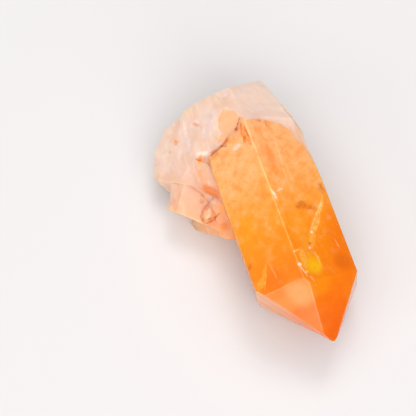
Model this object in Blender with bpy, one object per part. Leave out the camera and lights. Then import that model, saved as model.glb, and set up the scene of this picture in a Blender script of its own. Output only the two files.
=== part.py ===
"""Tangerine quartz: one stout quartz point with its milky broken root, lying on its side.

The crystal and its root grew as one piece, so the model is one solid. All sizes below are
millimetres. They are measured from the near end of the upper prism edge, which lies straight
above x = 0, y = 0, with z = 0 on the surface that the stone rests on. The point looks along -Y.
At the end the solid is moved so that the origin is the centre of the footprint's box.
"""

import math
from typing import NamedTuple

import bmesh
import bpy
from mathutils import Matrix, Vector, noise

MM = 0.001
NODE = "tangerine_quartz"
ORANGE = "orange_quartz"
MILKY = "milky_quartz"

# The crystal. Quartz has six prism faces 60 degrees apart round its axis, and six point faces
# that lean 51.8 degrees off the axis. Here all but the bevel are within two degrees of that.
EDGE_HEIGHT = 24.5  # near end of the upper prism edge, above the surface
PRISM_LENGTH = 46.0  # prism behind that point, most of it inside the root
STEP_COUNT = 3  # growth steps on the broad lower left point face
STEP_DEPTH = 0.1
STEP_WIDTH = 1.3
STEP_BORDER = (1.38, -10.22, 14.52)  # where the three upper point faces meet

# The root's broken skin.
SKIN_EDGE = 1.7 * MM  # longest edge between two points of the rough skin
SKIN_WAVE = 5.0 * MM  # distance between its larger swells
SKIN_DEPTH = 0.32 * MM
HACKLE_WAVE = 1.5 * MM  # distance between the finer hackles on them
HACKLE_DEPTH = 0.15 * MM
REST_HEIGHT = 0.001 * MM  # faces lower than this are the flat that the stone rests on
QUARTZ_IOR = 1.544

# Blocks that the forms are cut from. Each is larger than what it becomes.
CRYSTAL_BLOCK = (90.0, 90.0, 90.0)
FORM_BLOCK = (64.0, 42.0, 40.0)
CUTTER_BLOCK = (60.0, 60.0, 60.0)
GROUND_BLOCK = (120.0, 120.0, 60.0)


class Face(NamedTuple):
    """A crystal face: azimuth round the axis from straight up towards +X, lean from the axis."""

    azimuth: float
    lean: float
    distance: float


class Break(NamedTuple):
    """A broken face: which way it looks, how far it leans upwards, and a point on it."""

    heading: float
    pitch: float
    point: tuple[float, float, float]


class Form(NamedTuple):
    """A convex lump of the root: its foot's height, whether it keeps inside the crystal's faces
    where it meets them, and its broken faces. A foot below 0 is cut off by the rest face."""

    name: str
    foot: float
    flush: bool
    breaks: tuple[Break, ...]


PRISM = {
    "far left": Face(-95.3, 90.0, 11.22),
    "upper left": Face(-34.0, 89.4, 0.0),
    "upper right": Face(24.6, 89.4, 0.0),
    "far right": Face(85.3, 90.0, 12.94),
    "lower right": Face(145.3, 90.0, 21.9),
    "lower left": Face(205.3, 90.0, 22.2),
}
POINT = {
    "far left": Face(-94.9, 50.4, 6.25),
    "upper left": Face(-35.7, 52.0, -0.74),
    "upper right": Face(26.2, 50.8, 0.0),
    "bevel": Face(71.7, 48.7, 7.84),
    "far right": Face(85.3, 51.8, 9.9),
    "lower right": Face(145.3, 51.8, 17.5),
    "lower left": Face(205.3, 51.8, 15.5),
}

# Where the orange crystal ends against the root, seen from above: a jagged ledge on the left
# of the upper edge, then the worn border down the right shoulder.
LEDGE = (
    (-13.0, 34.6), (-10.7, 34.6), (-10.5, 38.6), (-8.1, 39.0), (-6.7, 39.5), (-5.9, 39.0),
    (-4.2, 41.2), (-2.4, 40.8), (-0.7, 42.9), (4.9, 42.1), (8.3, 40.5), (10.3, 38.4),
    (10.7, 36.5), (12.2, 33.4), (13.3, 28.1), (13.5, 24.2), (15.5, 23.4),
)
LEDGE_BEHIND = ((24.0, 23.4), (24.0, 60.0), (-20.0, 60.0), (-20.0, 34.6))  # round the root
LEDGE_FOOT = -6.0
LEDGE_HEIGHT = 40.0
LEDGE_DROP = 0.9  # root below the upper left face
BORDER_DROP = 0.35  # root below the upper right face
FLANK_DROP = 0.5  # root inside the two right faces

ROOT = Form(
    name="root",
    foot=-3.0,
    flush=True,
    breaks=(
        Break(38.0, 57.0, (-0.24, 42.84, 25.0)),
        Break(100.0, 70.0, (-1.0, 46.0, 23.2)),
        Break(172.4, 52.8, (-0.24, 42.84, 24.6)),
        Break(13.0, -3.0, (12.5, 40.8, 19.4)),
        Break(93.0, 12.0, (9.4, 55.1, 15.7)),
        Break(96.0, -20.0, (2.0, 55.8, 10.5)),
        Break(110.0, 9.0, (-13.0, 52.9, 14.5)),
        Break(132.0, -7.0, (-19.5, 50.0, 9.6)),
        Break(156.0, -12.0, (-22.3, 46.3, 7.9)),
        Break(178.0, -24.0, (-23.6, 41.0, 6.6)),
        Break(206.0, -30.0, (-22.6, 38.6, 6.8)),
        Break(226.0, 4.0, (-13.6, 33.0, 14.6)),
        Break(270.0, 0.0, (0.0, 21.0, 10.0)),
    ),
)
# The shallow chip out of the root beside the crystal's left edge.
CHIP = (
    Break(161.4, -30.0, (-13.2, 41.1, 15.3)),
    Break(56.0, -30.0, (-12.0, 41.0, 16.0)),
)
CHIP_FACE = Face(-39.5, 89.4, -0.4)
SLAB = Form(
    name="slab",
    foot=-1.5,
    flush=True,
    breaks=(
        Break(218.0, 3.0, (-13.2, 32.3, 15.0)),
        Break(161.0, 10.0, (-15.6, 34.2, 13.0)),
        Break(60.0, 30.0, (-10.5, 38.0, 16.0)),
        Break(0.0, 0.0, (-8.0, 36.0, 15.0)),
        Break(275.0, 5.0, (-10.6, 27.6, 14.0)),
    ),
)
SHELF = Form(
    name="shelf",
    foot=-4.5,
    flush=False,
    breaks=(
        Break(172.4, 52.8, (-0.24, 42.84, 24.2)),
        Break(248.7, 70.1, (-13.0, 24.0, 8.3)),
        Break(150.0, -10.0, (-22.0, 34.5, 8.0)),
        Break(196.0, -26.0, (-22.6, 31.0, 7.6)),
        Break(249.0, -24.0, (-19.4, 26.5, 8.0)),
        Break(227.0, -18.0, (-13.0, 24.0, 8.0)),
        Break(20.0, 0.0, (-3.0, 30.0, 8.0)),
        Break(75.0, 0.0, (-10.0, 40.0, 8.0)),
    ),
)
KNOB = Form(
    name="knob",
    foot=1.5,
    flush=False,
    breaks=(
        Break(285.0, 62.0, (-12.2, 29.6, 12.4)),
        Break(205.0, 12.0, (-12.8, 30.4, 12.0)),
        Break(280.0, 10.0, (-11.8, 27.4, 11.0)),
        Break(0.0, 0.0, (-8.0, 30.0, 11.0)),
        Break(90.0, 0.0, (-10.0, 34.0, 11.0)),
    ),
)
WEDGE = Form(
    name="wedge",
    foot=-6.0,
    flush=False,
    breaks=(
        Break(250.0, 45.0, (-11.4, 23.6, 7.6)),
        Break(200.0, 20.0, (-12.9, 25.0, 8.0)),
        Break(240.0, -22.0, (-10.6, 21.4, 6.5)),
        Break(0.0, 0.0, (-7.0, 25.0, 5.0)),
        Break(90.0, 0.0, (-10.0, 30.0, 5.0)),
    ),
)

POINT_LEAN = math.radians(51.8)

# A thumbnail crystal grown on the shelf, and the small round pit beside it.
BUD_RADIUS = 2.1
BUD_LENGTH = 5.2
BUD_PLACE = (-14.2, 27.8, 9.7)
BUD_HEADING = 232.0
BUD_PITCH = 24.0
PIT_RADIUS = 0.6
PIT_PLACE = (-14.6, 31.4, 10.8)


def looking(heading: float, pitch: float) -> Vector:
    """The unit vector that looks along a compass heading from +X and a pitch above level."""
    turn, lift = math.radians(heading), math.radians(pitch)
    return Vector((math.cos(lift) * math.cos(turn), math.cos(lift) * math.sin(turn), math.sin(lift)))


def crystal_normal(face: Face) -> Vector:
    """The outward normal of a crystal face. The crystal's axis is -Y."""
    azimuth, lean = math.radians(face.azimuth), math.radians(face.lean)
    across = Vector((math.sin(azimuth), 0.0, math.cos(azimuth)))
    return across * math.sin(lean) + Vector((0.0, -1.0, 0.0)) * math.cos(lean)


def crystal_plane(face: Face, inwards: float = 0.0) -> tuple[Vector, Vector]:
    """A point and the normal of a crystal face, moved inwards by a few tenths if asked."""
    normal = crystal_normal(face)
    return Vector((0.0, 0.0, EDGE_HEIGHT)) + normal * (face.distance - inwards), normal


def block(centre: Vector, sides: tuple[float, float, float]) -> bmesh.types.BMesh:
    """A plain block to cut a convex form from."""
    bm = bmesh.new()
    bmesh.ops.create_cube(bm, size=1.0)
    bmesh.ops.scale(bm, vec=sides, verts=bm.verts)
    bmesh.ops.translate(bm, vec=centre, verts=bm.verts)
    return bm


def cut(bm: bmesh.types.BMesh, point: Vector, normal: Vector) -> None:
    """Takes off all that stands in front of a plane and closes the flat that is left."""
    sliced = bmesh.ops.bisect_plane(
        bm, geom=bm.verts[:] + bm.edges[:] + bm.faces[:], dist=1e-5,
        plane_co=point, plane_no=normal, clear_outer=True,
    )
    rim = [item for item in sliced["geom_cut"] if isinstance(item, bmesh.types.BMEdge)]
    if rim:
        bmesh.ops.edgeloop_fill(bm, edges=rim)


def to_object(name: str, bm: bmesh.types.BMesh, finish: str) -> bpy.types.Object:
    """Writes a form in metres to an object of its own, in one of the two finishes."""
    bmesh.ops.scale(bm, vec=(MM, MM, MM), verts=bm.verts)
    bmesh.ops.recalc_face_normals(bm, faces=bm.faces)
    mesh = bpy.data.meshes.new(name)
    bm.to_mesh(mesh)
    bm.free()
    mesh.materials.append(bpy.data.materials[finish])
    made = bpy.data.objects.new(name, mesh)
    bpy.context.scene.collection.objects.link(made)
    return made


def helper(name: str, bm: bmesh.types.BMesh, finish: str = MILKY) -> bpy.types.Object:
    """A form that is only joined to or cut from another."""
    made = to_object(name, bm, finish)
    made.hide_render = True
    made.display_type = "WIRE"
    return made


def crystal() -> bpy.types.Object:
    """The orange crystal: its prism and point faces cut from a block."""
    bm = block(Vector((0.0, 20.0, 12.0)), CRYSTAL_BLOCK)
    for face in [*PRISM.values(), *POINT.values()]:
        cut(bm, *crystal_plane(face))
    cut(bm, Vector((0.0, PRISM_LENGTH, 0.0)), Vector((0.0, 1.0, 0.0)))
    return to_object(NODE, bm, ORANGE)


def growth_steps() -> list[bpy.types.Object]:
    """Cutters for the ledges that run along the broad point face, beside its upper border."""
    centre, normal = crystal_plane(POINT["far left"])
    along = normal.cross(crystal_normal(POINT["upper left"])).normalized()
    down = along.cross(normal)
    down *= -1.0 if down.z > 0.0 else 1.0
    steps = []
    for number in range(1, STEP_COUNT + 1):
        start = Vector(STEP_BORDER) + down * STEP_WIDTH * number
        bm = block(centre, CUTTER_BLOCK)
        cut(bm, centre - normal * STEP_DEPTH * number, -normal)
        cut(bm, start, -down)
        steps.append(helper(f"growth_step_{number}", bm, ORANGE))
    return steps


def ledge_cutter() -> bpy.types.Object:
    """A tall block whose near side follows the ragged end of the orange crystal."""
    bm = bmesh.new()
    outline = [*LEDGE, *LEDGE_BEHIND]
    floor = bm.faces.new([bm.verts.new((x, y, LEDGE_FOOT)) for x, y in outline])
    raised = bmesh.ops.extrude_face_region(bm, geom=[floor])["geom"]
    tops = [item for item in raised if isinstance(item, bmesh.types.BMVert)]
    bmesh.ops.translate(bm, verts=tops, vec=(0.0, 0.0, LEDGE_HEIGHT))
    return helper("ledge_cutter", bm)


def broken_form(form: Form) -> bpy.types.Object:
    """A lump of the root, cut from a block."""
    bm = block(Vector((0.0, 36.0, form.foot + FORM_BLOCK[2] / 2)), FORM_BLOCK)
    for broken in form.breaks:
        cut(bm, Vector(broken.point), looking(broken.heading, broken.pitch))
    if form.flush:
        cut(bm, *crystal_plane(PRISM["upper left"], LEDGE_DROP))
        cut(bm, *crystal_plane(PRISM["upper right"], BORDER_DROP))
        cut(bm, *crystal_plane(PRISM["far right"], FLANK_DROP))
        cut(bm, *crystal_plane(PRISM["lower right"], FLANK_DROP))
    return helper(form.name, bm)


def chip() -> bpy.types.Object:
    """What the chip takes away: all above its floor, between its two walls."""
    floor, normal = crystal_plane(CHIP_FACE)
    bm = block(Vector((-10.0, 36.0, 20.0)), CUTTER_BLOCK)
    cut(bm, floor, -normal)
    for wall in CHIP:
        cut(bm, Vector(wall.point), looking(wall.heading, wall.pitch))
    return helper("chip", bm)


def bud() -> bpy.types.Object:
    """The thumbnail crystal: a six-sided cone-tipped prism half sunk in the shelf."""
    bm = bmesh.new()
    bmesh.ops.create_cone(
        bm, segments=6, radius1=BUD_RADIUS, radius2=BUD_RADIUS, depth=BUD_LENGTH, cap_ends=True,
    )
    for number in range(6):
        side = Matrix.Rotation(math.radians(60.0 * number + 30.0), 3, "Z") @ Vector((1.0, 0.0, 0.0))
        slant = side * math.sin(POINT_LEAN) + Vector((0.0, 0.0, math.cos(POINT_LEAN)))
        cut(bm, Vector((0.0, 0.0, BUD_LENGTH / 2)), slant)
    turn = looking(BUD_HEADING, BUD_PITCH).to_track_quat("Z", "Y").to_matrix().to_4x4()
    bm.transform(Matrix.Translation(BUD_PLACE) @ turn)
    return helper("bud", bm, ORANGE)


def pit() -> bpy.types.Object:
    """The small round pit beside the thumbnail crystal."""
    bm = bmesh.new()
    bmesh.ops.create_icosphere(
        bm, subdivisions=2, radius=PIT_RADIUS, matrix=Matrix.Translation(PIT_PLACE)
    )
    return helper("pit", bm)


def under_surface() -> bpy.types.Object:
    """What lies below the surface, for the flat that the stone rests on."""
    return helper("under_surface", block(Vector((0.0, 20.0, -GROUND_BLOCK[2] / 2)), GROUND_BLOCK))


def combine(stone: bpy.types.Object, other: bpy.types.Object, operation: str) -> None:
    """Adds an exact Boolean between the stone and a helper."""
    modifier = stone.modifiers.new(other.name, "BOOLEAN")
    modifier.operation = operation
    modifier.solver = "EXACT"
    modifier.material_mode = "TRANSFER"
    modifier.object = other


def halve(edge: bmesh.types.BMEdge) -> None:
    """Splits an edge at its middle and the triangles beside it in two."""
    _, middle = bmesh.utils.edge_split(edge, edge.verts[0], 0.5)
    for loop in list(middle.link_loops):
        bmesh.utils.face_split(loop.face, middle, loop.link_loop_next.link_loop_next.vert)


def roughen(bm: bmesh.types.BMesh, milky_index: int) -> None:
    """Gives the broken faces their uneven skin: swells with finer hackles on them.

    Points on a crystal face or on the rest face stay where they are.
    """
    def broken(face: bmesh.types.BMFace) -> bool:
        return face.material_index == milky_index and face.calc_center_median().z > REST_HEIGHT

    def too_long(edge: bmesh.types.BMEdge) -> bool:
        return edge.calc_length() > SKIN_EDGE and any(broken(face) for face in edge.link_faces)

    bmesh.ops.triangulate(bm, faces=bm.faces[:])
    edges = [edge for edge in bm.edges if too_long(edge)]
    while edges:
        for edge in sorted(edges, key=bmesh.types.BMEdge.calc_length, reverse=True):
            halve(edge)
        edges = [edge for edge in bm.edges if too_long(edge)]
    bm.normal_update()
    moves = []
    for vert in bm.verts:
        if all(broken(face) for face in vert.link_faces):
            swell = noise.noise(vert.co / SKIN_WAVE) * SKIN_DEPTH
            hackle = noise.noise(vert.co / HACKLE_WAVE) * HACKLE_DEPTH
            moves.append((vert, vert.normal * (swell + hackle)))
    for vert, move in moves:
        vert.co += move


def settle(stone: bpy.types.Object) -> None:
    """Keeps the joined shape, roughens its broken skin and centres the footprint on the origin."""
    graph = bpy.context.evaluated_depsgraph_get()
    shape = bpy.data.meshes.new_from_object(stone.evaluated_get(graph))
    stone.modifiers.clear()
    stone.data = shape
    for other in [item for item in bpy.data.objects if item.hide_render]:
        bpy.data.objects.remove(other)
    bm = bmesh.new()
    bm.from_mesh(shape)
    roughen(bm, shape.materials.find(MILKY))
    low = Vector(min(vert.co[axis] for vert in bm.verts) for axis in range(3))
    high = Vector(max(vert.co[axis] for vert in bm.verts) for axis in range(3))
    centre = (low + high) / 2
    bmesh.ops.translate(bm, verts=bm.verts, vec=(-centre.x, -centre.y, -low.z))
    bm.to_mesh(shape)
    bm.free()


def quartz_material(name: str, colour: tuple[float, float, float], roughness: float) -> None:
    """One of the stone's two finishes."""
    material = bpy.data.materials.new(name)
    material.use_nodes = True
    shader = material.node_tree.nodes["Principled BSDF"]
    shader.inputs["Base Color"].default_value = (*colour, 1.0)
    shader.inputs["Roughness"].default_value = roughness
    shader.inputs["IOR"].default_value = QUARTZ_IOR


def main() -> None:
    """Builds the stone."""
    for old in list(bpy.data.objects):
        bpy.data.objects.remove(old)
    quartz_material(ORANGE, (0.90, 0.27, 0.03), 0.2)
    quartz_material(MILKY, (0.86, 0.65, 0.52), 0.45)
    stone = crystal()
    for step in growth_steps():
        combine(stone, step, "DIFFERENCE")
    combine(stone, ledge_cutter(), "DIFFERENCE")
    root = broken_form(ROOT)
    combine(root, chip(), "DIFFERENCE")
    combine(stone, root, "UNION")
    for form in (SLAB, SHELF, KNOB, WEDGE):
        combine(stone, broken_form(form), "UNION")
    combine(stone, bud(), "UNION")
    combine(stone, pit(), "DIFFERENCE")
    combine(stone, under_surface(), "DIFFERENCE")
    settle(stone)


main()
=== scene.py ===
"""Looks of a tangerine quartz: a stout quartz point with its milky broken root, lying on its side."""

import logging
import math
from dataclasses import dataclass
from enum import Enum

import bmesh
import bpy
import numpy as np
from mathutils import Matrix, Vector, noise
from mathutils.geometry import intersect_point_tri_2d


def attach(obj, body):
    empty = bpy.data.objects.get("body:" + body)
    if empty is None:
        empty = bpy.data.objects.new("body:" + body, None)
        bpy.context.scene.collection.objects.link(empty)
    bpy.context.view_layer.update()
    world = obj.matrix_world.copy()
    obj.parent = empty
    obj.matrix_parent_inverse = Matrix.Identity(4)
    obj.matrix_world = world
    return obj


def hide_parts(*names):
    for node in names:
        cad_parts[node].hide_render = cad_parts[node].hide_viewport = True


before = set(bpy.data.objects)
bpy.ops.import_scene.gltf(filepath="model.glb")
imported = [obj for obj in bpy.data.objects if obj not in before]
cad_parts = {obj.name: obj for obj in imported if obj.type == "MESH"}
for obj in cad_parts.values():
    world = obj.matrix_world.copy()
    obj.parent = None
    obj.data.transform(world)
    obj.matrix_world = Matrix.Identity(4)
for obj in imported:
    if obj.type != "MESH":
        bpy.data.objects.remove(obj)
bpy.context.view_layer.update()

LOG = logging.getLogger("tangerine_quartz")
MM = 0.001
NODE = "tangerine_quartz"

# Turn of the lines that the growth steps leave on the left point face, along its upper edge.
GROWTH = (0.0, math.radians(14.7), math.radians(-49.4))

# Near end of the crystal's upper edge. Every place on the stone is given from here, in mm.
RIDGE_END = Vector((4.669, -20.739, 24.515)) * MM

Colour = tuple[float, float, float, float]
Socket = bpy.types.NodeSocket


def linear(hex_colour: str) -> Colour:
    """Turns an sRGB hex colour into the linear colour that shaders take.

    Args:
        hex_colour: six hex digits, such as "fcb16f".

    Returns:
        Red, green, blue and an alpha of 1.
    """
    shares = [int(hex_colour[at : at + 2], 16) / 255 for at in (0, 2, 4)]
    flat = [c / 12.92 if c <= 0.04045 else ((c + 0.055) / 1.055) ** 2.4 for c in shares]
    return (*flat, 1.0)


def add_node(
    tree: bpy.types.NodeTree,
    kind: str,
    links: dict[str | int, object] | None = None,
    **settings: object,
) -> bpy.types.Node:
    """Adds a node with its settings, and sets or links its inputs.

    Inputs that share a name go by index: Mix takes numbers in 2 and 3, and colours in 6 and 7.

    Args:
        tree: the node tree.
        kind: the node's type name.
        links: input name or index, to a value or to the socket that feeds it.
        **settings: the node's own properties.

    Returns:
        The node.
    """
    node = tree.nodes.new(kind)
    for name, value in settings.items():
        setattr(node, name, value)
    for name, value in (links or {}).items():
        if isinstance(value, Socket):
            tree.links.new(value, node.inputs[name])
        else:
            node.inputs[name].default_value = value
    return node


class Skin(Enum):
    """What the finish reads from the mesh: each is a number from 0 to 1 on every face."""

    ROOT = "broken_root"
    HAZE = "hazy_face"
    STEPS = "growth_steps"
    SCAR = "smooth_scar"


Layers = dict[Skin, bmesh.types.BMLayerItem]


@dataclass(frozen=True)
class CrystalFace:
    """A flat face of the crystal.

    Attributes:
        azimuth: degrees round the crystal's axis, from straight up towards +X.
        lean: degrees between the face's normal and the axis, which is -Y.
        distance: mm from the near end of the upper edge.
        haze: how hazy the quartz is under this face.
    """

    # Least cosine between the normals of two faces that count as one.
    SAME_WAY = 0.9998

    azimuth: float
    lean: float
    distance: float
    haze: float = 0.0

    def normal(self) -> Vector:
        """Works out which way the face looks.

        Returns:
            The outward normal.
        """
        azimuth, lean = math.radians(self.azimuth), math.radians(self.lean)
        across = Vector((math.sin(azimuth), 0.0, math.cos(azimuth))) * math.sin(lean)
        return across + Vector((0.0, -math.cos(lean), 0.0))

    def height(self, x: float, y: float) -> float:
        """How high the face lies at x, y, all in mm from the near end of the upper edge."""
        normal = self.normal()
        return (self.distance - normal.x * x - normal.y * y) / normal.z

    def holds(self, face: bmesh.types.BMFace, slack_mm: float) -> bool:
        """Says whether a face of the mesh lies on this one.

        Args:
            face: the mesh's face.
            slack_mm: how far off this face its middle may be.

        Returns:
            True where it does.
        """
        normal = self.normal()
        off = (face.calc_center_median() - RIDGE_END).dot(normal) - self.distance * MM
        return face.normal.dot(normal) > self.SAME_WAY and abs(off) < slack_mm * MM


UPPER_LEFT = CrystalFace(-34.0, 89.4, 0.0, 0.04)
UPPER_RIGHT = CrystalFace(24.6, 89.4, 0.0)
POINT_LEFT = CrystalFace(-35.7, 52.0, 0.0, 0.12)
POINT_RIGHT = CrystalFace(26.2, 50.8, 0.76)
POINT_STEPPED = CrystalFace(-94.9, 50.4, 7.02, 0.8)
CRYSTAL = (
    CrystalFace(-95.3, 90.0, 11.22),
    UPPER_LEFT,
    UPPER_RIGHT,
    CrystalFace(85.3, 90.0, 12.94, 0.3),
    CrystalFace(145.3, 90.0, 21.9),
    CrystalFace(205.3, 90.0, 22.2),
    POINT_STEPPED,
    POINT_LEFT,
    POINT_RIGHT,
    CrystalFace(71.7, 48.7, 8.64, 0.45),
    CrystalFace(85.3, 51.8, 10.65, 0.9),
    CrystalFace(145.3, 51.8, 18.26, 0.4),
    CrystalFace(205.3, 51.8, 16.27, 0.4),
)


@dataclass(frozen=True)
class Mark:
    """A small patch of another colour, round a point of the surface.

    Attributes:
        x, y: its middle, in mm from the near end of the upper edge.
        on: the crystal face that it lies on, or its height in mm.
        half: its half lengths along its own axes, in mm.
        colour: sRGB hex.
        turn: degrees about Z.
        strength: share of the colour at its middle.
        soft: share of its size over which it fades. From 1 on, clouds don't break it up.
    """

    # How far a long mark reaches up and down, in mm.
    DEPTH = 2.5

    x: float
    y: float
    on: CrystalFace | float
    half: tuple[float, float]
    colour: str
    turn: float = 0.0
    strength: float = 1.0
    soft: float = 0.8

    def place(self) -> tuple[float, float, float]:
        """Its middle, in mm from the near end of the upper edge."""
        height = self.on.height(self.x, self.y) if isinstance(self.on, CrystalFace) else self.on
        return (self.x, self.y, height)


@dataclass(frozen=True)
class Tint:
    """A colour laid over another, more and more of it as a pattern goes from start to end.

    Attributes:
        start, end: the pattern's values between which the tint comes in.
        colour: sRGB hex.
        most: share of the tint at the end.
        least: share of the tint at the start.
    """

    start: float
    end: float
    colour: str
    most: float = 1.0
    least: float = 0.0


# Rust in the crack of the ledge, on the crystal's side and on the root's.
RUST = (
    Mark(-1.6, 41.9, -1.1, (1.5, 0.26), "d05a00", 52.0, 1.0, 0.7),
    Mark(-2.5, 40.8, -1.8, (0.6, 0.6), "b04c04", 0.0, 1.0, 0.7),
    Mark(-4.9, 40.1, -3.4, (1.3, 0.38), "dc6a00", 52.0, 1.0, 0.7),
    Mark(-6.3, 39.2, -4.3, (1.2, 0.38), "d46400", 20.0, 1.0, 0.7),
    Mark(-8.9, 38.7, -6.6, (2.0, 0.32), "d47422", 15.0, 0.9, 0.7),
    Mark(-10.5, 36.6, -6.6, (0.28, 2.2), "c9682c", 0.0, 0.7, 0.8),
)

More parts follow.
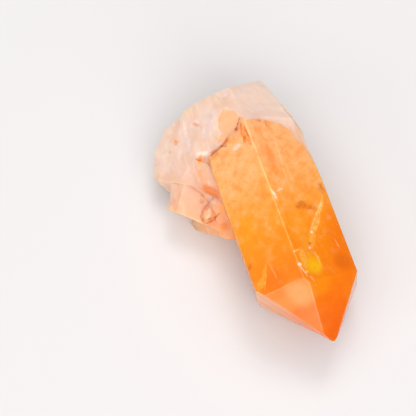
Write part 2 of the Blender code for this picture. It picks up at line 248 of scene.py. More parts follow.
# Veils, healed cracks and iron stains in the crystal, under its faces, with a painted glow and
# reflections.
VEILS_AND_PAINTED_LIGHT = (
    # The deeper right third of the upper right face, and the deep lower part of the left face.
    Mark(13.0, 5.5, UPPER_RIGHT, (5.2, 11.0), "fb7a00", -4.0, 0.75, 1.0),
    Mark(3.6, 12.6, UPPER_RIGHT, (1.8, 5.5), "ffa630", -8.0, 0.6, 1.0),
    Mark(-8.6, 14.0, UPPER_LEFT, (3.0, 7.0), "ff9808", 0.0, 0.65, 1.0),
    Mark(-6.2, 2.9, UPPER_LEFT, (2.4, 2.4), "f87a00", 30.0, 0.7, 1.0),
    Mark(-7.6, 17.0, UPPER_LEFT, (1.8, 4.0), "ffa010", -12.0, 0.6, 1.0),
    # Feather: a healed crack that comes down from the right edge and widens.
    Mark(10.4, 16.6, UPPER_RIGHT, (3.0, 0.45), "ffc468", 55.0, 1.0, 0.5),
    Mark(7.9, 12.9, UPPER_RIGHT, (3.3, 0.9), "ffc064", 56.0, 1.0, 0.4),
    Mark(5.5, 8.9, UPPER_RIGHT, (2.8, 0.8), "ffb244", 62.0, 1.0, 0.5),
    Mark(8.5, 14.5, UPPER_RIGHT, (5.2, 0.14), "ffdca0", 52.0, 0.8, 0.8),
    # Painted glow of light at the yellow end of the feather.
    Mark(2.9, 3.3, UPPER_RIGHT, (2.7, 2.7), "ffa808", 0.0, 0.8, 1.0),
    Mark(3.6, 2.3, UPPER_RIGHT, (1.9, 1.9), "ffbe00", 0.0, 0.95, 1.0),
    Mark(1.7, 4.9, UPPER_RIGHT, (0.7, 2.4), "ffbc54", -6.0, 0.8, 0.7),
    Mark(5.0, 4.2, UPPER_RIGHT, (0.25, 1.6), "ffcf7a", 6.0, 0.8, 0.7),
    # Iron-stained flecks.
    Mark(5.9, 17.8, UPPER_RIGHT, (1.5, 1.0), "cf6216", 15.0, 0.85, 0.95),
    Mark(7.9, 16.9, UPPER_RIGHT, (1.5, 0.7), "dc6c12", -20.0, 0.85, 0.95),
    Mark(12.4, 21.2, UPPER_RIGHT, (0.8, 1.5), "d66a18", 0.0, 0.7, 0.95),
    Mark(12.6, 21.7, UPPER_RIGHT, (0.9, 0.14), "9c420e", 74.0, 0.9, 0.7),
    Mark(3.3, 41.1, UPPER_RIGHT, (0.9, 0.28), "cf6a26", -55.0, 0.8, 0.8),
    Mark(4.9, 39.8, UPPER_RIGHT, (0.8, 0.3), "d27030", 85.0, 0.8, 0.8),
    Mark(2.4, 31.0, UPPER_RIGHT, (1.6, 5.0), "f99a50", 5.0, 0.5, 1.0),
    # Second faint line beside the upper edge, and the pale chips along the edge itself.
    Mark(5.2, 29.2, UPPER_RIGHT, (6.0, 0.18), "ffd6a8", 86.4, 0.45, 0.9),
    Mark(0.4, 21.5, UPPER_RIGHT, (1.5, 0.3), "ffe2cc", -82.0, 0.95, 0.8),
    Mark(2.2, 22.5, UPPER_RIGHT, (0.9, 0.22), "ffd8b0", 20.0, 0.8, 0.8),
    # White specks at the edge's near end.
    Mark(0.75, 6.9, UPPER_RIGHT, (0.8, 0.25), "ffd88c", 15.0, 0.85, 0.8),
    Mark(0.3, 3.4, UPPER_RIGHT, (0.45, 0.45), "fff6ea", 0.0, 1.0, 0.8),
    Mark(0.6, 1.7, UPPER_RIGHT, (1.5, 0.16), "ffe2c4", -74.0, 0.9, 0.8),
    Mark(1.2, 1.3, UPPER_RIGHT, (0.4, 0.4), "ffe08c", 0.0, 0.9, 0.8),
    Mark(2.0, -0.6, POINT_RIGHT, (0.8, 0.3), "ffd0a0", -62.0, 0.9, 0.8),
    Mark(2.4, -2.0, POINT_RIGHT, (0.3, 0.3), "ffd9ac", 0.0, 0.8, 0.8),
    Mark(6.1, 10.7, UPPER_RIGHT, (0.34, 0.34), "ffeedd", 10.0, 0.9, 0.8),
    Mark(4.1, 7.0, UPPER_RIGHT, (0.36, 0.36), "ffe8cc", 10.0, 0.9, 0.8),
    Mark(4.5, 8.1, UPPER_RIGHT, (0.32, 0.32), "c4601c", 10.0, 0.8, 0.8),
    # A scratch and a stain near the right edge.
    Mark(11.05, 7.0, UPPER_RIGHT, (1.3, 0.11), "ffc890", -79.0, 0.85, 0.8),
    Mark(10.7, 2.4, UPPER_RIGHT, (2.0, 2.0), "dc6600", 0.0, 0.5, 1.0),
    # Yellow triangle low on the left face.
    Mark(-8.9, 3.5, UPPER_LEFT, (1.6, 0.85), "ffb236", 55.0, 0.95, 0.5),
    Mark(-7.5, 5.6, UPPER_LEFT, (2.0, 0.42), "ffb236", 56.0, 0.95, 0.5),
    Mark(-7.5, 4.5, UPPER_LEFT, (2.9, 0.13), "ffc866", 66.0, 0.8, 0.8),
    Mark(-5.6, 4.9, UPPER_LEFT, (2.0, 0.18), "fdb468", -84.0, 0.7, 0.8),
    Mark(-10.1, 8.6, UPPER_LEFT, (1.0, 0.5), "d0601c", 60.0, 0.7, 0.95),
    # Hackly patch by the broken ledge, and painted reflections on it as white spots.
    Mark(-1.4, 40.0, UPPER_LEFT, (1.7, 0.3), "d05a10", 80.0, 1.0, 0.8),
    Mark(-0.5, 38.4, UPPER_LEFT, (1.9, 0.24), "cc580e", -85.0, 1.0, 0.8),
    Mark(-1.4, 37.3, UPPER_LEFT, (1.5, 0.4), "d66414", 75.0, 1.0, 0.8),
    Mark(-0.7, 36.0, UPPER_LEFT, (1.0, 0.3), "e27828", -80.0, 0.9, 0.8),
    Mark(-5.0, 39.5, UPPER_LEFT, (1.4, 0.45), "dc6c20", 42.0, 0.9, 0.8),
    Mark(-3.7, 36.4, UPPER_LEFT, (0.95, 0.6), "f2ded6", 10.0, 0.95, 0.7),
    Mark(-3.2, 40.3, UPPER_LEFT, (0.5, 0.5), "f0e0dc", 20.0, 0.95, 0.7),
    Mark(-3.1, 38.5, UPPER_LEFT, (0.35, 0.35), "f6d8c4", 20.0, 0.9, 0.7),
    # Brown-orange patch at the left face's corner, by the ledge's end.
    Mark(-9.4, 37.6, UPPER_LEFT, (1.6, 0.9), "ee8c46", 20.0, 0.6, 1.0),
    # Haze of the left point face: pale above, deeper along its foot.
    Mark(-1.6, -2.4, POINT_LEFT, (3.2, 3.2), "ffae62", -10.0, 0.8, 1.0),
    Mark(0.2, -8.4, POINT_LEFT, (3.4, 3.4), "fd8222", -10.0, 0.85, 1.0),
    Mark(-5.6, -3.2, POINT_LEFT, (2.4, 2.4), "ff983c", -10.0, 0.7, 1.0),
    Mark(-1.4, -6.2, POINT_LEFT, (1.3, 0.8), "f47c10", -35.0, 0.7, 1.0),
    Mark(7.6, -7.4, POINT_RIGHT, (1.6, 6.0), "f97000", 0.0, 0.6, 1.0),
    Mark(3.4, -1.8, POINT_RIGHT, (2.8, 2.8), "ff9600", 0.0, 0.7, 1.0),
    Mark(2.6, -8.6, POINT_RIGHT, (1.6, 1.6), "ee6800", 0.0, 0.5, 1.0),
)

# Stains and pale streaks in the milky root, and painted shade on the shelf's cliff.
STAINS_AND_SHADE = (
    # Warm quartz inside the crack, and a paler right side with fine ledges along it.
    Mark(-1.8, 41.2, -1.6, (2.3, 1.1), "ffa456", 52.0, 0.95, 0.7),
    Mark(-5.6, 38.7, -4.2, (2.5, 1.1), "ffa254", 45.0, 0.95, 0.7),
    Mark(-9.0, 38.2, -7.2, (2.2, 0.7), "fca866", 15.0, 0.85, 0.8),
    Mark(7.9, 47.5, -5.6, (8.0, 8.0), "f8dccc", 0.0, 0.7, 1.0),
    Mark(12.0, 40.4, -6.2, (5.1, 0.22), "dba083", -78.0, 0.85, 0.8),
    Mark(11.0, 41.8, -5.6, (4.3, 0.2), "f7e6dc", -75.0, 0.7, 0.8),
    # Pale patch beside the scar, streaks, small stains and the yellowish bump of the top.
    Mark(-7.3, 46.2, -5.8, (3.9, 1.9), "ecd8ce", 66.0, 0.8, 0.6),
    Mark(-13.2, 45.6, -10.1, (4.2, 0.4), "f5e4dc", 84.0, 0.7, 0.9),
    Mark(-15.9, 46.2, -12.1, (0.6, 0.6), "f08a30", 20.0, 0.9, 0.9),
    Mark(-18.0, 44.7, -13.6, (0.45, 0.45), "eea070", 0.0, 0.8, 0.9),
    Mark(-10.3, 47.5, -8.3, (1.1, 0.4), "e29a6e", -50.0, 0.7, 0.9),
    Mark(-10.9, 52.0, -8.9, (1.2, 1.2), "f4cca0", 30.0, 0.9, 0.9),
    # The ledge's pale rim with its orange spot, and the peach triangle below it.
    Mark(-11.0, 39.7, -8.0, (1.9, 0.45), "f8e8e0", -24.0, 0.85, 0.8),
    Mark(-12.1, 38.8, -9.8, (1.0, 0.4), "ffa014", 52.0, 1.0, 1.0),
    Mark(-12.4, 36.0, -9.2, (1.5, 3.6), "f4b078", -6.0, 0.75, 0.8),
    # The shelf: its orange cliff darkened with painted shade, a pale rim, a pit, and iron in the
    # knob's cracks.
    Mark(-17.0, 31.0, -14.0, (3.6, 3.6), "e6ab88", 0.0, 0.6, 1.0),
    Mark(-12.3, 30.3, -9.4, (2.8, 1.0), "e6762a", -56.0, 0.85, 1.0),
    Mark(-12.6, 29.6, -11.8, (1.5, 0.4), "efdccb", -45.0, 0.7, 0.9),
    Mark(-14.1, 31.2, -13.4, (0.5, 0.5), "d08a5c", 0.0, 0.9, 0.8),
    Mark(-14.9, 28.0, -14.7, (1.6, 0.2), "b85c08", 38.0, 0.9, 0.8),
    Mark(-15.8, 26.1, -15.4, (1.0, 0.24), "bc6410", -72.0, 0.8, 0.8),
    Mark(-14.4, 25.2, -15.0, (1.2, 0.22), "b86008", 5.0, 0.9, 0.8),
    Mark(-12.2, 25.6, -14.0, (1.1, 0.2), "b05c1a", 12.0, 0.8, 0.8),
    Mark(-14.4, 24.2, -15.9, (1.7, 0.7), "e6a278", -12.0, 0.8, 0.7),
    Mark(-10.4, 26.4, -12.7, (1.4, 1.4), "f8a850", 0.0, 0.7, 1.0),
    Mark(-11.1, 22.9, -15.9, (1.1, 1.1), "f09040", 0.0, 0.7, 1.0),
)

# A smooth scar on the root's top, beside the ledge: its corners seen from above.
SCAR = ((-5.9, 43.4), (-5.2, 45.9), (-3.6, 47.0), (-1.0, 45.2), (-0.9, 43.3), (-2.1, 41.3),
        (-3.8, 40.5), (-6.9, 39.8), (-7.3, 41.0), (-5.6, 42.0))


@dataclass(frozen=True)
class Canvas:
    """What every step of the finish draws on.

    Attributes:
        tree: the material's node tree.
        spot: the place on the stone, in mm from the near end of the upper edge.
        ragged: the same place, shaken a little, so that no mark has a clean outline.
        skins: what the mesh says of each face.
    """

    tree: bpy.types.NodeTree
    spot: Socket
    ragged: Socket
    skins: dict[Skin, Socket]


@dataclass(frozen=True)
class QuartzFinish:
    """Iron-stained quartz: glassy flat faces over a hazy orange body, and a milky broken root.

    Quartz has an IOR of 1.544. Haze inside scatters the light, so the body looks softly lit from
    within, and iron oxide takes its blue and then its green away the further the light goes. The
    broken root is full of tiny cracks, which make it pale, milky and waxy.

    Attributes:
        ior: quartz's own.
        haze_share: share of the light that the haze scatters.
        haze_reach_mm: how far red, green and blue light spread in the haze.
        absorb_colour, absorb_density: what the quartz takes from light that passes straight through.
        clear_from_mm, clear_to_mm: where along the crystal it starts and ends to grow clearer.
        clear_least, clear_most: how clear it is there.
        clear_root: how clear the root is.
        rough, rough_root: roughness of the crystal's faces and of the broken skin.
        grain_per_mm: grains of the surface in a mm.
        grain_mm, grain_root_mm: depth of the grain on the crystal and on the broken skin.
        shakes_mm: spacing and size of the two shakes that make every mark ragged.
        cloud_mm: spacing of the clouds that break up the marks.
        cloud_range, cloud_least: where those clouds come in, and what they leave of a mark.
        along_mm: where along the crystal its colours start and end.
        colours: share of that length, and the colour there.
        mottle_mm, mottle_shift_mm: spacing of the mottle, and how far it shifts the colours.
        mottled_mm, mottled_least: where the mottle comes in, and its share before.
        mottles: dark and pale clouds of the hazy body.
        fleck_mm, flecks: spacing and tint of the flecks.
        face_haze: the paler haze under the faces of the point.
        step_mm, step_lines: size and tint of the lines along the growth steps.
        root_clouds_per_mm, root_base, root_clouds: the root's own colour and its clouds.
        root_warmth: warm tints of the root, towards the crystal and low down.
        streaks_per_mm, root_streaks: pale streaks along the root.
        scar_colour: colour of the smooth scar.
    """

    ior: float = 1.544
    haze_share: float = 0.5
    haze_reach_mm: tuple[float, float, float] = (9.0, 3.5, 1.4)
    absorb_colour: str = "ff9a3c"
    absorb_density: float = 14.0
    clear_from_mm: float = 26.0
    clear_to_mm: float = -2.0
    clear_least: float = 0.06
    clear_most: float = 0.22
    clear_root: float = 0.1
    rough: float = 0.17
    rough_root: float = 0.45
    grain_per_mm: float = 2.2
    grain_mm: float = 0.02
    grain_root_mm: float = 0.08
    shakes_mm: tuple[tuple[float, float], ...] = ((0.9, 0.35), (5.0, 0.8))
    cloud_mm: float = 1.0
    cloud_range: tuple[float, float] = (0.36, 0.6)
    cloud_least: float = 0.25
    along_mm: tuple[float, float] = (-9.0, 51.0)
    colours: tuple[tuple[float, str], ...] = (
        (0.0, "f46400"),
        (0.1, "fa7400"),
        (0.2, "fe8400"),
        (0.27, "fe8800"),
        (0.36, "fe9000"),
        (0.45, "fe9814"),
        (0.55, "fca23e"),
        (0.7, "fbae68"),
        (0.9, "f9b47a"),
    )
    mottle_mm: float = 2.2
    mottle_shift_mm: float = 9.0
    mottled_mm: tuple[float, float] = (2.0, 26.0)
    mottled_least: float = 0.05
    mottles: tuple[Tint, ...] = (Tint(0.5, 0.36, "f58420", 0.36), Tint(0.52, 0.72, "fecca0", 0.26))
    fleck_mm: float = 0.8
    flecks: Tint = Tint(0.52, 0.72, "ea7a1c", 0.32)
    face_haze: Tint = Tint(-7.0, 1.5, "febf8a", 1.0, 0.2)
    step_mm: tuple[float, float, float] = (14.0, 0.5, 0.5)
    step_lines: Tint = Tint(0.45, 0.6, "f27a1e")
    root_clouds_per_mm: float = 0.3
    root_base: str = "ebc3aa"
    root_clouds: Tint = Tint(0.35, 0.65, "edcfc0")
    root_warmth: tuple[Tint, ...] = (
        Tint(43.0, 26.0, "ea9c64", 0.75),
        Tint(33.0, 17.0, "faa254", 0.7),
    )
    streaks_per_mm: tuple[float, float, float] = (0.9, 0.14, 0.9)
    root_streaks: Tint = Tint(0.52, 0.7, "efdfd6", 0.35)
    scar_colour: str = "f8bc8c"

    def material(self) -> bpy.types.Material:
        """Builds the stone's one material.

        Returns:
            The material.
        """
        material = bpy.data.materials.new("iron_stained_quartz")
        material.use_nodes = True
        tree = material.node_tree
        tree.nodes.clear()
        canvas = self.canvas(tree)
        root = canvas.skins[Skin.ROOT]
        body_colour = self.crystal_colour(canvas)
        root_colour = self.root_colour(canvas)
        colour = add_node(
            tree, "ShaderNodeMix", {0: root, 6: body_colour, 7: root_colour}, data_type="RGBA"
        ).outputs[2]
        along = add_node(tree, "ShaderNodeSeparateXYZ", {0: canvas.ragged}).outputs["Y"]
        clear = add_node(
            tree,
            "ShaderNodeMapRange",
            {
                "Value": along,
                "From Min": self.clear_from_mm,
                "From Max": self.clear_to_mm,
                "To Min": self.clear_least,
                "To Max": self.clear_most,
            },
        ).outputs[0]
        clear = add_node(
            tree, "ShaderNodeMix", {0: root, 2: clear, 3: self.clear_root}, data_type="FLOAT"
        ).outputs[0]
        rough = add_node(
            tree, "ShaderNodeMix", {0: root, 2: self.rough, 3: self.rough_root}, data_type="FLOAT"
        ).outputs[0]
        shader = add_node(
            tree,
            "ShaderNodeBsdfPrincipled",
            {
                "Base Color": colour,
                "Roughness": rough,
                "IOR": self.ior,
                "Transmission Weight": clear,
                "Subsurface Weight": self.haze_share,
                "Subsurface Radius": [mm * MM for mm in self.haze_reach_mm],
                "Subsurface Scale": 1.0,
                "Normal": self.relief(canvas),
            },
        )
        absorb = add_node(
            tree,
            "ShaderNodeVolumeAbsorption",
            {"Color": linear(self.absorb_colour), "Density": self.absorb_density},
        )
        add_node(
            tree,
            "ShaderNodeOutputMaterial",
            {"Surface": shader.outputs[0], "Volume": absorb.outputs[0]},
        )
        return material

    def canvas(self, tree: bpy.types.NodeTree) -> Canvas:
        """Reads the place on the stone, and what the mesh says of each face.

        Args:
            tree: the material's empty node tree.

        Returns:
            What every step of the finish draws on.
        """
        spot = add_node(tree, "ShaderNodeTexCoord").outputs["Object"]
        spot = add_node(
            tree, "ShaderNodeVectorMath", {0: spot, 1: RIDGE_END}, operation="SUBTRACT"
        ).outputs[0]
        spot = add_node(
            tree, "ShaderNodeVectorMath", {0: spot, "Scale": 1 / MM}, operation="SCALE"
        ).outputs[0]
        skins = {
            skin: add_node(tree, "ShaderNodeAttribute", attribute_name=skin.value).outputs["Fac"]
            for skin in Skin
        }
        ragged = spot
        for size, shake in self.shakes_mm:
            stir = add_node(
                tree, "ShaderNodeTexNoise", {"Vector": ragged, "Scale": 1 / size, "Detail": 2.0}
            ).outputs["Color"]
            stir = add_node(
                tree, "ShaderNodeVectorMath", {0: stir, 1: (0.5, 0.5, 0.5)}, operation="SUBTRACT"
            ).outputs[0]
            ragged = add_node(
                tree,
                "ShaderNodeVectorMath",
                {0: stir, 1: (shake, shake, shake), 2: ragged},
                operation="MULTIPLY_ADD",
            ).outputs[0]
        return Canvas(tree, spot, ragged, skins)

    @staticmethod
    def tinted(
        tree: bpy.types.NodeTree,
        colour: Socket | Colour,
        pattern: Socket,
        tint: Tint,
        gate: Socket | None = None,
        growth: str = "LINEAR",
    ) -> Socket:
        """Lays a tint over a colour.

        Args:
            tree: the material's node tree.
            colour: the colour underneath.
            pattern: the pattern that brings the tint in.
            tint: the tint.
            gate: what the tint's share is multiplied by, if anything.
            growth: how the share grows, in Map Range's words.

        Returns:
            The colour with the tint on it.
        """
        share = add_node(
            tree,
            "ShaderNodeMapRange",
            {
                "Value": pattern,
                "From Min": tint.start,
                "From Max": tint.end,
                "To Min": tint.least,
                "To Max": tint.most,
            },
            interpolation_type=growth,
        ).outputs[0]
        if gate is not None:
            share = add_node(
                tree, "ShaderNodeMath", {0: share, 1: gate}, operation="MULTIPLY"
            ).outputs[0]
        return add_node(
            tree, "ShaderNodeMix", {0: share, 6: colour, 7: linear(tint.colour)}, data_type="RGBA"
        ).outputs[2]

    @staticmethod
    def reach(canvas: Canvas, mark: Mark) -> Socket:
        """Measures how far a place is from a mark's middle.

        Args:
            canvas: what the finish draws on.
            mark: the mark.

        Returns:
            0 at the mark's middle and 1 at its rim.
        """
        along, across = mark.half
        if along == across:
            away = add_node(
                canvas.tree,
                "ShaderNodeVectorMath",
                {0: canvas.ragged, 1: mark.place()},
                operation="DISTANCE",
            ).outputs["Value"]
            return add_node(
                canvas.tree, "ShaderNodeMath", {0: away, 1: along}, operation="DIVIDE"
            ).outputs[0]
        local = add_node(
            canvas.tree,
            "ShaderNodeMapping",
            {
                "Vector": canvas.ragged,
                "Location": mark.place(),
                "Rotation": (0.0, 0.0, math.radians(mark.turn)),
                "Scale": (along, across, mark.DEPTH),
            },
            vector_type="TEXTURE",
        ).outputs[0]
        return add_node(
            canvas.tree, "ShaderNodeVectorMath", {0: local}, operation="LENGTH"
        ).outputs["Value"]

    def marked(self, canvas: Canvas, colour: Socket, marks: tuple[Mark, ...]) -> Socket:
        """Lays marks over a colour, one after another, the sharper ones broken up by clouds.

        Args:
            canvas: what the finish draws on.
            colour: the colour underneath.
            marks: the marks, the lowest first.

        Returns:
            The colour with the marks on it.
        """
        clouds = add_node(
            canvas.tree,
            "ShaderNodeTexNoise",
            {
                "Vector": canvas.ragged,
                "Scale": 1 / self.cloud_mm,
                "Detail": 4.0,
                "Roughness": 0.7,
            },
        ).outputs["Fac"]
        low, high = self.cloud_range
        clouds = add_node(
            canvas.tree,
            "ShaderNodeMapRange",
            {"Value": clouds, "From Min": low, "From Max": high, "To Min": self.cloud_least},
        ).outputs[0]
        for mark in marks:
            fade = mark.soft / 2
            tint = Tint(1.0 + fade, 1.0 - fade, mark.colour, mark.strength)
            gate = clouds if mark.soft < 1.0 else None
            reach = self.reach(canvas, mark)
            colour = self.tinted(canvas.tree, colour, reach, tint, gate, "SMOOTHSTEP")
        return colour

    def crystal_colour(self, canvas: Canvas) -> Socket:
        """Hazy peach-orange near the root, turning saturated orange towards the tip.

        Args:
            canvas: what the finish draws on.

        Returns:
            The crystal's colour.
        """
        tree = canvas.tree
        mottle = add_node(
            tree,
            "ShaderNodeTexNoise",
            {
                "Vector": canvas.spot,
                "Scale": 1 / self.mottle_mm,
                "Detail": 3.0,
                "Roughness": 0.55,
            },
        ).outputs["Fac"]
        forward = add_node(tree, "ShaderNodeSeparateXYZ", {0: canvas.ragged}).outputs["Y"]
        along = add_node(
            tree,
            "ShaderNodeMath",
            {0: mottle, 1: self.mottle_shift_mm, 2: forward},
            operation="MULTIPLY_ADD",
        ).outputs[0]
        start, end = self.mottled_mm
        mottled = add_node(
            tree,
            "ShaderNodeMapRange",
            {"Value": along, "From Min": start, "From Max": end, "To Min": self.mottled_least},
        ).outputs[0]
        start, end = self.along_mm
        share = add_node(
            tree, "ShaderNodeMapRange", {"Value": along, "From Min": start, "From Max": end}
        ).outputs[0]
        ramp = add_node(tree, "ShaderNodeValToRGB", {0: share})
        stops = ramp.color_ramp.elements
        while len(stops) < len(self.colours):
            stops.new(0.5)
        for stop, (position, colour) in zip(stops, self.colours):
            stop.position = position
            stop.color = linear(colour)
        colour = self.marked(canvas, ramp.outputs[0], VEILS_AND_PAINTED_LIGHT + RUST)
        for tint in self.mottles:
            colour = self.tinted(tree, colour, mottle, tint, mottled)
        flecks = add_node(
            tree,
            "ShaderNodeTexNoise",
            {
                "Vector": canvas.spot,
                "Scale": 1 / self.fleck_mm,
                "Detail": 3.0,
                "Roughness": 0.65,
            },
        ).outputs["Fac"]
        colour = self.tinted(tree, colour, flecks, self.flecks)
        colour = self.tinted(tree, colour, forward, self.face_haze, canvas.skins[Skin.HAZE])
        grown = add_node(
            tree,
            "ShaderNodeMapping",
            {"Vector": canvas.spot, "Rotation": GROWTH, "Scale": self.step_mm},
            vector_type="TEXTURE",
        ).outputs[0]
        lines = add_node(
            tree, "ShaderNodeTexNoise", {"Vector": grown, "Scale": 1.0, "Detail": 3.0}
        ).outputs["Fac"]
        return self.tinted(tree, colour, lines, self.step_lines, canvas.skins[Skin.STEPS])

    def root_colour(self, canvas: Canvas) -> Socket:
        """Milky pinkish peach, warmer near the crystal and low down, with pale streaks.

        Args:
            canvas: what the finish draws on.

        Returns:
            The root's colour.
        """
        tree = canvas.tree
        clouds = add_node(
            tree,
            "ShaderNodeTexNoise",
            {"Vector": canvas.ragged, "Scale": self.root_clouds_per_mm, "Detail": 4.0},
        ).outputs["Fac"]
        colour = self.tinted(tree, linear(self.root_base), clouds, self.root_clouds)
        along = add_node(tree, "ShaderNodeSeparateXYZ", {0: canvas.ragged}).outputs["Y"]
        for tint in self.root_warmth:
            colour = self.tinted(tree, colour, along, tint)
        grown = add_node(
            tree, "ShaderNodeMapping", {"Vector": canvas.ragged, "Scale": self.streaks_per_mm}
        ).outputs[0]
        streaks = add_node(
            tree, "ShaderNodeTexNoise", {"Vector": grown, "Scale": 1.0, "Detail": 3.0}
        ).outputs["Fac"]
        colour = self.tinted(tree, colour, streaks, self.root_streaks)
        colour = self.marked(canvas, colour, STAINS_AND_SHADE + RUST)
        return add_node(
            tree,
            "ShaderNodeMix",
            {0: canvas.skins[Skin.SCAR], 6: colour, 7: linear(self.scar_colour)},
            data_type="RGBA",
        ).outputs[2]

    def relief(self, canvas: Canvas) -> Socket:
        """Grain too fine for the mesh: waxy on the root, barely etched on the crystal.

        Args:
            canvas: what the finish draws on.

        Returns:
            The bent normal.
        """
        tree = canvas.tree
        grain = add_node(
            tree,
            "ShaderNodeTexNoise",
            {"Vector": canvas.spot, "Scale": self.grain_per_mm, "Detail": 4.0},
        ).outputs["Fac"]
        depth = add_node(
            tree,
            "ShaderNodeMix",
            {0: canvas.skins[Skin.ROOT], 2: self.grain_mm, 3: self.grain_root_mm},
            data_type="FLOAT",
        ).outputs[0]
        grain = add_node(
            tree, "ShaderNodeMath", {0: grain, 1: depth}, operation="MULTIPLY"
        ).outputs[0]
        return add_node(tree, "ShaderNodeBump", {"Height": grain, "Distance": MM}).outputs[0]


@dataclass
class Stone:
    """The stone: the CAD solid with worn crystal edges and a finely hackled broken skin.

    Attributes:
        merge_mm: the CAD's loose corners closer than this are one.
        sliver_mm: mesh edges shorter than this are closed up.
        flat_degrees: faces that meet at less than this are one.
        slack_mm: how far a mesh face may be off the crystal face that it lies on.
        step_slack_mm: the same on the stepped face, whose steps stand that far off it.
        root_from_mm: what lies on no crystal face is broken skin beyond this, along the crystal.
        riser_down: the least upward share of the normal of a growth step's riser.
        flat_mm: longest mesh edge inside a flat face.
        worn_mm: longest mesh edge along a worn crystal edge.
        skin_mm: longest mesh edge on the broken skin.
        under_mm: longest mesh edge on the rest face.
        rounds: how often the mesh's long edges are halved.
        spread: how fast the mesh gets coarser away from a worn edge.
        foot_mm: what is lower than this above the table rests on it, and stays as it is.
        wear_mm: least and most reach of the wear along the crystal's edges.
        rubs: waves in a mm and strength of each layer of the uneven wear.
        rub_range: between these values of the uneven wear, its reach goes from least to most.
        hackles: spacing and depth in mm of each layer of the broken skin's relief.
        steep_hackle: how much deeper the relief is on steep sides than on top.
        scar_up: the least upward share of the normal of the scar's faces.
        scar_mm: how deep the scar is sunk.
        sharp_degrees: faces that meet at more than this have a sharp edge between them.
    """

    merge_mm: float = 0.002
    sliver_mm: float = 0.004
    flat_degrees: float = 0.3
    slack_mm: float = 0.05
    step_slack_mm: float = 0.4
    root_from_mm: float = 15.0
    riser_down: float = -0.5
    flat_mm: float = 2.6
    worn_mm: float = 0.26
    skin_mm: float = 0.6
    under_mm: float = 4.0
    rounds: int = 8
    spread: float = 0.7
    foot_mm: float = 0.05
    wear_mm: tuple[float, float] = (0.16, 0.42)
    rubs: tuple[tuple[float, float], ...] = ((0.8, 1.0), (2.6, 0.6))
    rub_range: tuple[float, float] = (-0.1, 0.8)
    hackles: tuple[tuple[float, float], ...] = ((3.5, 0.16), (1.5, 0.1))
    steep_hackle: float = 1.3
    scar_up: float = 0.4
    scar_mm: float = 0.12
    sharp_degrees: float = 28.0

    def build(self) -> bpy.types.Object:
        """Makes the piece from a copy of the CAD node's mesh.

        Returns:
            The piece, with no material yet.
        """
        bm = bmesh.new()
        bm.from_mesh(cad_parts[NODE].data)
        bmesh.ops.remove_doubles(bm, verts=bm.verts, dist=self.merge_mm * MM)
        bmesh.ops.dissolve_limit(
            bm, angle_limit=math.radians(self.flat_degrees), verts=bm.verts, edges=bm.edges
        )
        bmesh.ops.dissolve_degenerate(bm, dist=self.sliver_mm * MM, edges=bm.edges)
        bmesh.ops.triangulate(bm, faces=bm.faces)
        layers = {skin: bm.faces.layers.float.new(skin.value) for skin in Skin}
        for face in bm.faces:
            self.sort_face(face, layers)
        self.refine(bm, layers)
        self.mark_scar(bm, layers)
        self.wear(bm, layers)
        self.hackle(bm, layers)
        for face in bm.faces:
            face.smooth = True
        bm.normal_update()
        for edge in bm.edges:
            edge.smooth = edge.calc_face_angle(0.0) < math.radians(self.sharp_degrees)
        mesh = bpy.data.meshes.new("quartz_stone")
        bm.to_mesh(mesh)
        bm.free()
        stone = bpy.data.objects.new("quartz_stone", mesh)
        bpy.context.scene.collection.objects.link(stone)
        return stone

    def sort_face(self, face: bmesh.types.BMFace, layers: Layers) -> None:
        """Says whether a face belongs to the root, and how hazy the crystal is under it.

        Args:
            face: the face.
            layers: where the mesh keeps what the finish reads.
        """
        for flat in CRYSTAL:
            slack = self.step_slack_mm if flat is POINT_STEPPED else self.slack_mm
            if flat.holds(face, slack):
                face[layers[Skin.HAZE]] = flat.haze
                face[layers[Skin.STEPS]] = float(flat is POINT_STEPPED)
                return
        spot = (face.calc_center_median() - RIDGE_END) / MM
        near = spot.y < self.root_from_mm
        riser = near and face.normal.z > self.riser_down
        face[layers[Skin.HAZE]] = POINT_STEPPED.haze * riser
        face[layers[Skin.STEPS]] = float(riser)
        face[layers[Skin.ROOT]] = float(not near)

    @staticmethod
    def off_edges(points: np.ndarray) -> np.ndarray:
        """Measures how far points on the crystal's flat faces lie from its nearest edge.

        Args:
            points: one row a point, in mm from the near end of the upper edge.

        Returns:
            The distances in mm.
        """
        normals = np.array([flat.normal() for flat in CRYSTAL])
        reach = np.array([flat.distance for flat in CRYSTAL])
        inside = np.sort(points @ normals.T - reach, axis=1)
        return inside[:, -1] - inside[:, -2]

    def refine(self, bm: bmesh.types.BMesh, layers: Layers) -> None:
        """Halves the mesh's long edges, longest first, until none is too long for its place.

        Args:
            bm: the stone's mesh, in triangles.
            layers: where the mesh keeps what the finish reads.
        """
        root = layers[Skin.ROOT]
        for _ in range(self.rounds):
            edges = [edge for edge in bm.edges if edge.calc_length() > self.worn_mm * MM]
            ends = np.array([[vert.co - RIDGE_END for vert in edge.verts] for edge in edges]) / MM
            lengths = np.linalg.norm(ends[:, 0] - ends[:, 1], axis=1)
            off = self.off_edges(ends.mean(axis=1))
            longest = self.worn_mm + (off - self.wear_mm[1]) * self.spread
            longest = np.clip(longest, self.worn_mm, self.flat_mm)
            broken = [any(face[root] > 0.5 for face in edge.link_faces) for edge in edges]
            longest = np.where(broken, self.skin_mm, longest)
            under = (ends[:, :, 2] < -RIDGE_END.z / MM + self.foot_mm).all(axis=1)
            longest = np.where(under, self.under_mm, longest)
            chosen = [edges[i] for i in np.argsort(-lengths) if lengths[i] > longest[i]]
            for edge in chosen:
                _, middle = bmesh.utils.edge_split(edge, edge.verts[0], 0.5)
                for loop in list(middle.link_loops):
                    far = loop.link_loop_next.link_loop_next.vert
                    bmesh.utils.face_split(loop.face, middle, far)

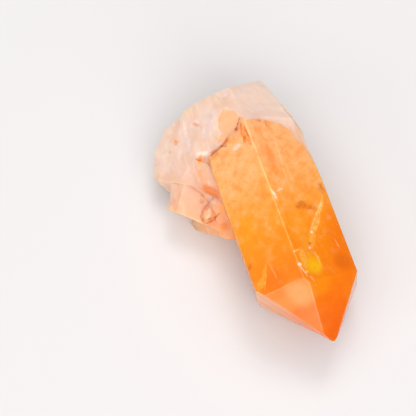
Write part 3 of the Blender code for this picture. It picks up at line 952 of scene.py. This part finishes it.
    def mark_scar(self, bm: bmesh.types.BMesh, layers: Layers) -> None:
        """Marks the faces of the root's top that lie in the smooth scar.

        Args:
            bm: the stone's mesh.
            layers: where the mesh keeps what the finish reads.
        """
        corners = [Vector(corner) for corner in SCAR]
        middle = sum(corners, Vector((0.0, 0.0))) / len(corners)
        for face in bm.faces:
            spot = (face.calc_center_median() - RIDGE_END) / MM
            if face[layers[Skin.ROOT]] > 0.5 and face.normal.z > self.scar_up:
                face[layers[Skin.SCAR]] = float(
                    any(
                        intersect_point_tri_2d(spot.xy, middle, a, b)
                        for a, b in zip(corners, corners[1:] + corners[:1])
                    )
                )

    def wear(self, bm: bmesh.types.BMesh, layers: Layers) -> None:
        """Rounds the crystal's edges by an uneven amount, with a nick here and there.

        Args:
            bm: the stone's mesh.
            layers: where the mesh keeps what the finish reads.
        """
        root = layers[Skin.ROOT]
        least, most = self.wear_mm
        low, high = self.rub_range
        normals = [flat.normal() for flat in CRYSTAL]
        for vert in bm.verts:
            if vert.co.z < self.foot_mm * MM or any(face[root] > 0.5 for face in vert.link_faces):
                continue
            spot = (vert.co - RIDGE_END) / MM
            insides = [normal.dot(spot) - flat.distance for normal, flat in zip(normals, CRYSTAL)]
            first, second = sorted(range(len(insides)), key=insides.__getitem__)[-1:-3:-1]
            off = insides[first] - insides[second]
            if off > most:
                continue
            rub = sum(noise.noise(spot * waves) * strength for waves, strength in self.rubs)
            share = min(max((rub - low) / (high - low), 0.0), 1.0)
            reach = least + (most - least) * share**2
            if off < reach:
                lean = 0.5 * (reach - off) / reach
                push = normals[first] * (1.0 - lean) + normals[second] * lean
                depth = (reach - off) ** 2 / (4.0 * reach)
                vert.co -= push * (depth / push.length_squared) * MM

    def hackle(self, bm: bmesh.types.BMesh, layers: Layers) -> None:
        """Gives the broken skin its uneven relief, and sinks the smooth scar a little.

        Args:
            bm: the stone's mesh.
            layers: where the mesh keeps what the finish reads.
        """
        root, scar = layers[Skin.ROOT], layers[Skin.SCAR]
        bm.normal_update()
        moves = []
        for vert in bm.verts:
            if vert.co.z < self.foot_mm * MM or any(face[root] < 0.5 for face in vert.link_faces):
                continue
            spot = (vert.co - RIDGE_END) / MM
            if all(face[scar] > 0.5 for face in vert.link_faces):
                moves.append((vert, vert.normal * (-self.scar_mm * MM)))
                continue
            rise = sum(noise.noise(spot / size) * depth for size, depth in self.hackles)
            rise *= 1.0 + self.steep_hackle * (1.0 - max(vert.normal.z, 0.0))
            moves.append((vert, vert.normal * (rise * MM)))
        for vert, move in moves:
            vert.co += move
            vert.co.z = max(vert.co.z, 0.0)


@dataclass(frozen=True)
class SoftLight:
    """A square soft light that looks at the stone.

    Attributes:
        name: its name.
        place: metres from the stone's foot.
        side: its width in metres.
        power: watts.
    """

    name: str
    place: tuple[float, float, float]
    side: float
    power: float

    def build(self) -> None:
        """Sets the light up."""
        data = bpy.data.lights.new(self.name, "AREA")
        data.shape = "SQUARE"
        data.size = self.side
        data.energy = self.power
        lamp = bpy.data.objects.new(self.name, data)
        lamp.location = self.place
        lamp.rotation_euler = (-Vector(self.place)).to_track_quat("-Z", "Y").to_euler()
        bpy.context.scene.collection.objects.link(lamp)


@dataclass(frozen=True)
class BoardFinish:
    """Matte white board: hardly any gloss, so it shows soft shadows and no reflections.

    Attributes:
        colour: sRGB hex.
        rough: roughness.
        gloss: how strongly it reflects, where 0.5 is usual.
    """

    colour: str = "d6d4d5"
    rough: float = 0.9
    gloss: float = 0.1

    def material(self) -> bpy.types.Material:
        """Builds the board's material.

        Returns:
            The material.
        """
        material = bpy.data.materials.new("matte_white_board")
        material.use_nodes = True
        shader = material.node_tree.nodes["Principled BSDF"]
        shader.inputs["Base Color"].default_value = linear(self.colour)
        shader.inputs["Roughness"].default_value = self.rough
        shader.inputs["Specular IOR Level"].default_value = self.gloss
        return material


@dataclass
class Studio:
    """A pale table under soft studio light, and the camera.

    Attributes:
        camera_mm: the camera's place, from the near end of the crystal's upper edge.
        aim_mm: the point that it looks at.
        lens: focal length on the sensor, in mm.
        sensor: the sensor's width, in mm.
        table: half the table's width, in metres.
        tent_colour: the tent's colour.
        tent_low, tent_high: glow of the tent near the table and overhead.
        tent_rise: between these heights, out of 1 overhead, it goes from low to high.
        lights: the soft lights.
    """

    camera_mm: tuple[float, float, float] = (-56.325, -97.872, 351.288)
    aim_mm: tuple[float, float, float] = (-15.999, 21.357, 5.481)
    lens: float = 138.46
    sensor: float = 36.0
    table: float = 1.5
    tent_colour: str = "fffdfb"
    tent_low: float = 0.12
    tent_high: float = 1.38
    tent_rise: tuple[float, float] = (0.5, 0.85)
    lights: tuple[SoftLight, ...] = (
        SoftLight("softbox", (0.25, 0.5, 0.95), 0.4, 3.0),
        SoftLight("front_fill", (-0.12, -0.85, 0.5), 1.2, 8.8),
        SoftLight("left_fill", (-0.95, -0.25, 0.35), 0.6, 2.2),
    )

    def floor(self) -> bpy.types.Object:
        """Lays the table top.

        Returns:
            The table top.
        """
        bm = bmesh.new()
        bmesh.ops.create_grid(bm, x_segments=1, y_segments=1, size=self.table)
        mesh = bpy.data.meshes.new("table_top")
        bm.to_mesh(mesh)
        bm.free()
        mesh.materials.append(BoardFinish().material())
        floor = bpy.data.objects.new("table_top", mesh)
        bpy.context.scene.collection.objects.link(floor)
        return floor

    def tent(self) -> None:
        """A light tent: bright overhead and dim near the table, so that flat faces stay deep."""
        world = bpy.data.worlds.new("light_tent")
        world.use_nodes = True
        tree = world.node_tree
        way = add_node(tree, "ShaderNodeTexCoord").outputs["Generated"]
        height = add_node(tree, "ShaderNodeSeparateXYZ", {0: way}).outputs["Z"]
        low, high = self.tent_rise
        glow = add_node(
            tree,
            "ShaderNodeMapRange",
            {
                "Value": height,
                "From Min": low,
                "From Max": high,
                "To Min": self.tent_low,
                "To Max": self.tent_high,
            },
            interpolation_type="SMOOTHSTEP",
        ).outputs[0]
        background = tree.nodes["Background"]
        background.inputs["Color"].default_value = linear(self.tent_colour)
        tree.links.new(glow, background.inputs["Strength"])
        bpy.context.scene.world = world

    def camera(self) -> None:
        """Sets the camera where the photograph was taken from."""
        data = bpy.data.cameras.new("camera")
        data.lens = self.lens
        data.sensor_width = self.sensor
        camera = bpy.data.objects.new("camera", data)
        place = RIDGE_END + Vector(self.camera_mm) * MM
        aim = RIDGE_END + Vector(self.aim_mm) * MM
        camera.location = place
        camera.rotation_euler = (aim - place).to_track_quat("-Z", "Y").to_euler()
        bpy.context.scene.collection.objects.link(camera)
        bpy.context.scene.camera = camera

    def build(self) -> None:
        """Sets the table, the tent, the lights and the camera."""
        self.floor()
        self.tent()
        for light in self.lights:
            light.build()
        self.camera()
        bpy.context.scene.view_settings.view_transform = "Standard"


def main() -> None:
    """Builds the stone and the studio."""
    logging.basicConfig(level=logging.INFO)
    stone = Stone().build()
    stone.data.materials.append(QuartzFinish().material())
    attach(stone, "root")
    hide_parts(NODE)
    LOG.info("stone: %d faces", len(stone.data.polygons))
    studio = Studio()
    studio.build()
    LOG.info("studio: table top, light tent, %d soft lights and the camera", len(studio.lights))


if __name__ == "__main__":
    main()
